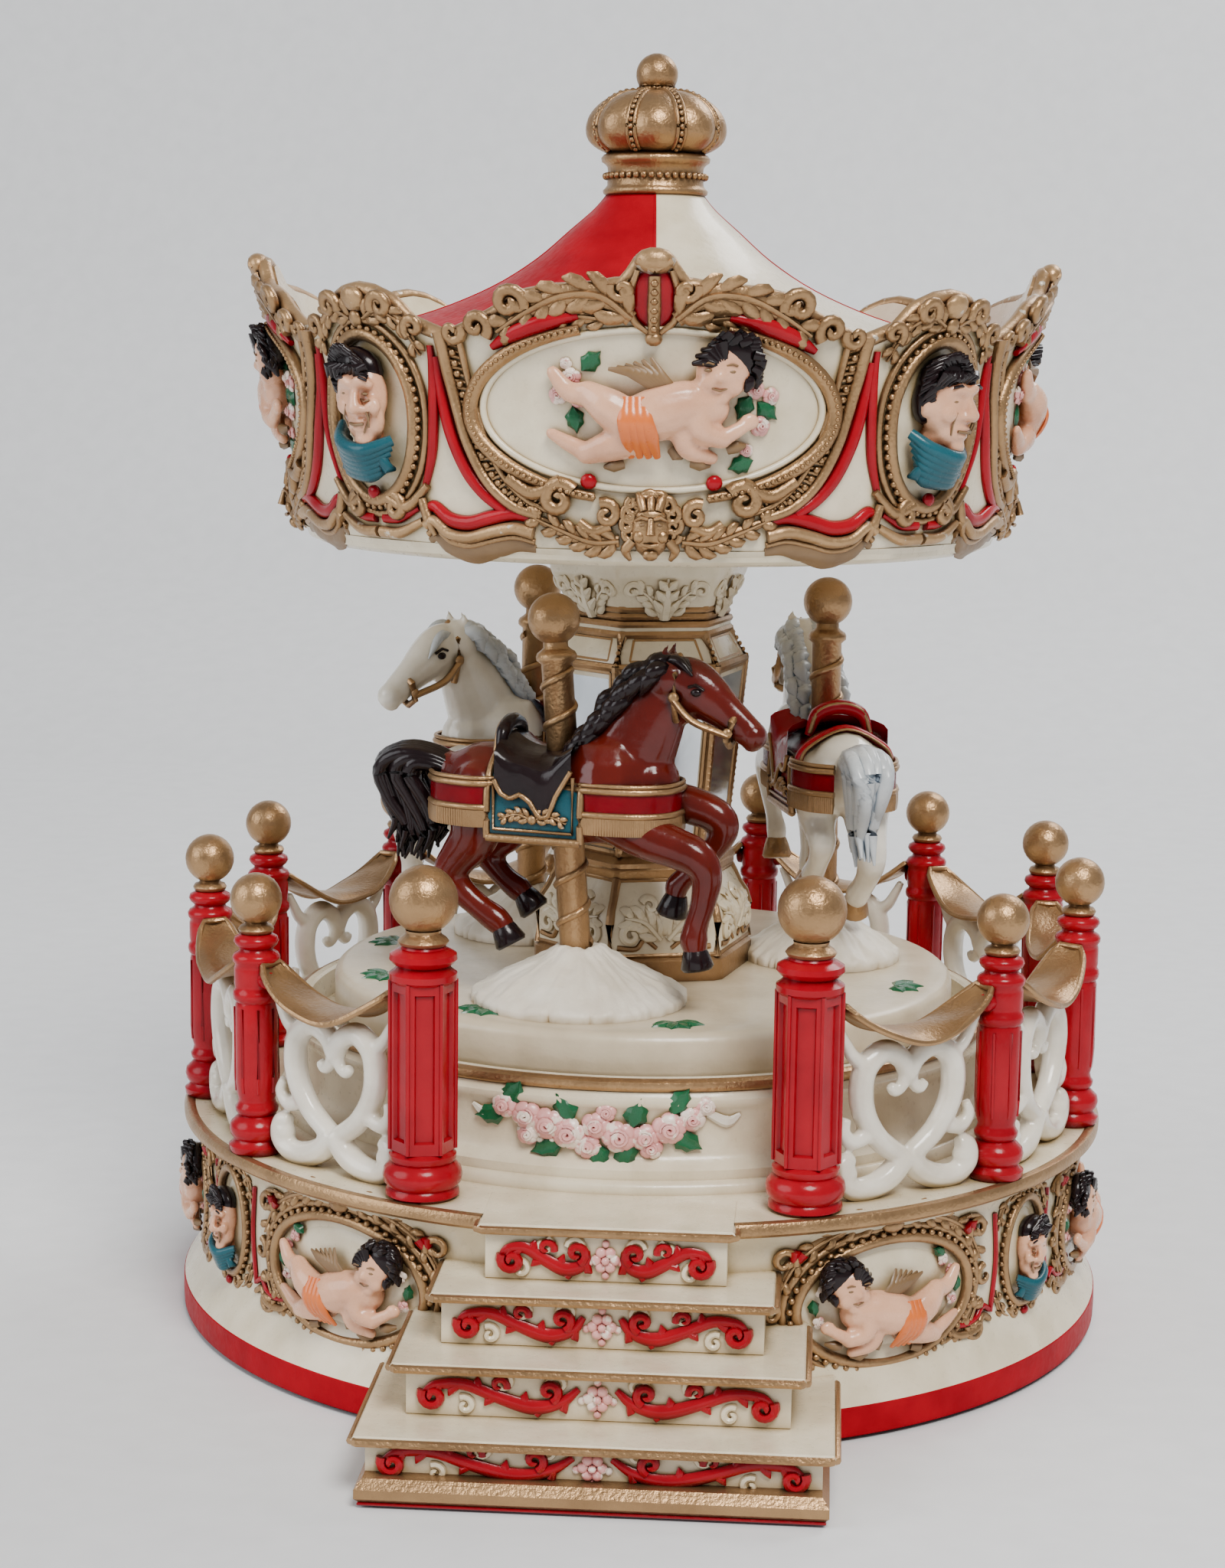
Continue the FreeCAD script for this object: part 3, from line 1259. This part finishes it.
def horse_shape():
    """A galloping horse heading +X, the pole's line at x = 0, y = 0."""
    pieces = [tube(NECK), tube(HEAD), tube(TAIL)]
    pieces += [tube(NEAR_FORELEG, -LEG_SPREAD), tube(FAR_FORELEG, LEG_SPREAD)]
    pieces += [tube(NEAR_HINDLEG, -LEG_SPREAD), tube(FAR_HINDLEG, LEG_SPREAD)]
    for side in (-1.4, 1.4):
        ear = Part.makeCone(1.0, 0.2, 3.2, Vector(14.6, side, 107.4), Vector(-0.2, 0, 1))
        pieces.append(ear)
    saddle = Part.makeCylinder(7.6, 12.0, Vector(-8.0, 0, 87.6), Vector(1, 0, 0))
    cantle = Part.makeCylinder(3.6, 1.8, Vector(-8.4, 0, 93.6), Vector(1, 0, 0.2))
    pieces += [saddle, cantle]
    return tube(TORSO).multiFuse(pieces)


def pole_placement(angle, lean):
    """The pole's foot stands in the mound and leans along the horse's line."""
    place = around(angle, size("horse_circle"), size("disc_top"))
    place.Rotation = place.Rotation * Rotation(Vector(0, 1, 0), lean)
    return place


def build_pole(label, place):
    """Brass-coloured pole with a spiral bead, a collar and a ball."""
    body = new_body(label)
    collar = "pole_radius + pole_collar"
    ball_foot = "pole_ball_height - pole_ball_radius"
    revolve(body, "Rod", [
        (0.0, 0.3), ("pole_radius", 0.3), ("pole_radius", f"{ball_foot} - 2.6"),
        (collar, f"{ball_foot} - 2.2"), (collar, f"{ball_foot} - 1.2"),
        ("pole_radius - 0.3", f"{ball_foot} - 0.6"),
        *neck_points("pole_ball_height", 1.9),
    ])
    add_ball(body, "pole_ball_radius", "pole_ball_height")
    bead = polygon_sketch(body, "XZ_Plane", "BeadProfile", [
        ("pole_radius - 0.2", 9.4), ("pole_radius + 0.35", 9.8),
        ("pole_radius + 0.35", 10.2), ("pole_radius - 0.2", 10.6),
    ])
    helix = body.newObject("PartDesign::AdditiveHelix", "SpiralBead")
    helix.Profile = bead
    helix.ReferenceAxis = (bead, ["V_Axis"])
    helix.Mode = 0
    helix.Pitch = 6.4
    helix.Height = 41.0
    keep(body, label)
    body.Placement = place


def bore_tool(name, place, radius, start, length):
    tool = doc.addObject("Part::Cylinder", name)
    tool.Radius = radius
    tool.Height = length
    tool.Placement = place * Placement(Vector(0, 0, start), Rotation())
    return tool


def cut(name, base, tool):
    feature = doc.addObject("Part::Cut", name)
    feature.Base = base
    feature.Tool = tool
    return feature


def build_mound(label, angle, radius_name, place, column):
    """Cast mound that holds the pole's foot, trimmed where it meets the column."""
    body = new_body(f"{label}Cast")
    revolve(body, "Mound", [
        (0.0, 0.0), (radius_name, 0.0), (radius_name, 1.0), (f"{radius_name} * 0.94", 1.8),
        (f"{radius_name} * 0.78", "mound_height * 0.38"),
        (f"{radius_name} * 0.56", "mound_height * 0.6"),
        (f"{radius_name} * 0.36", "mound_height * 0.8"), (4.1, "mound_height - 0.5"),
        (3.3, "mound_height"), (0.0, "mound_height"),
    ])
    body.Placement = around(angle, size("horse_circle"), size("disc_top"))
    trimmed = cut(f"{label}Trimmed", body, column)
    bore = bore_tool(f"{label}Bore", place, size("pole_radius"), -1.0, 14.0)
    keep(cut(f"{label}Finished", trimmed, bore), label)


def build_riders(column):
    cast = horse_shape()
    for name, index, lean, shift in RIDERS:
        angle = size("first_horse_angle") + 120.0 * index
        place = pole_placement(angle, lean)
        build_pole(f"pole_{name}", place)
        radius_name = "front_mound_radius" if index == 0 else "bell_mound_radius"
        build_mound(f"mound_{name}", angle, radius_name, place, column)
        horse = cast.copy()
        spot = around(angle, size("horse_circle")) * Placement(Vector(shift, 0, 0), Rotation())
        bore = Part.makeCylinder(size("pole_radius") + 0.36, 60.0)
        bore.Placement = spot.inverse() * place
        part_feature(f"horse_{name}", horse.cut(bore), spot)


# ---------------------------------------------------------------- the whole object


build_base_shell()
build_bottom_plate()
build_plate_screws()
build_fence()
build_bush()
build_movement_frame()
build_frame_screws()
build_comb()
build_comb_screws()
build_barrel()
build_crown_gear()
build_mainspring()
build_drive_hub()
build_hub_screws()
build_winding_arbor()
build_winding_key()
build_music_cylinder()
build_idler()
build_governor()
build_disc()
column = build_column()
build_mirrors()
build_fascia()
build_roof()
build_crown()
build_riders(column)
doc.recompute()

for item in doc.Objects:
    if "Invalid" in item.State or "Error" in item.State:
        raise RuntimeError(f"{item.Name} did not compute: {item.State}")

os.makedirs("parts", exist_ok=True)
for item in subparts:
    if item.Shape.isNull() or not item.Shape.isValid():
        raise RuntimeError(f"{item.Label} has no valid shape")
    item.Shape.exportStep(os.path.join("parts", f"{item.Label}.step"))
    print(item.Label, len(item.Shape.Solids), round(item.Shape.Volume, 2))
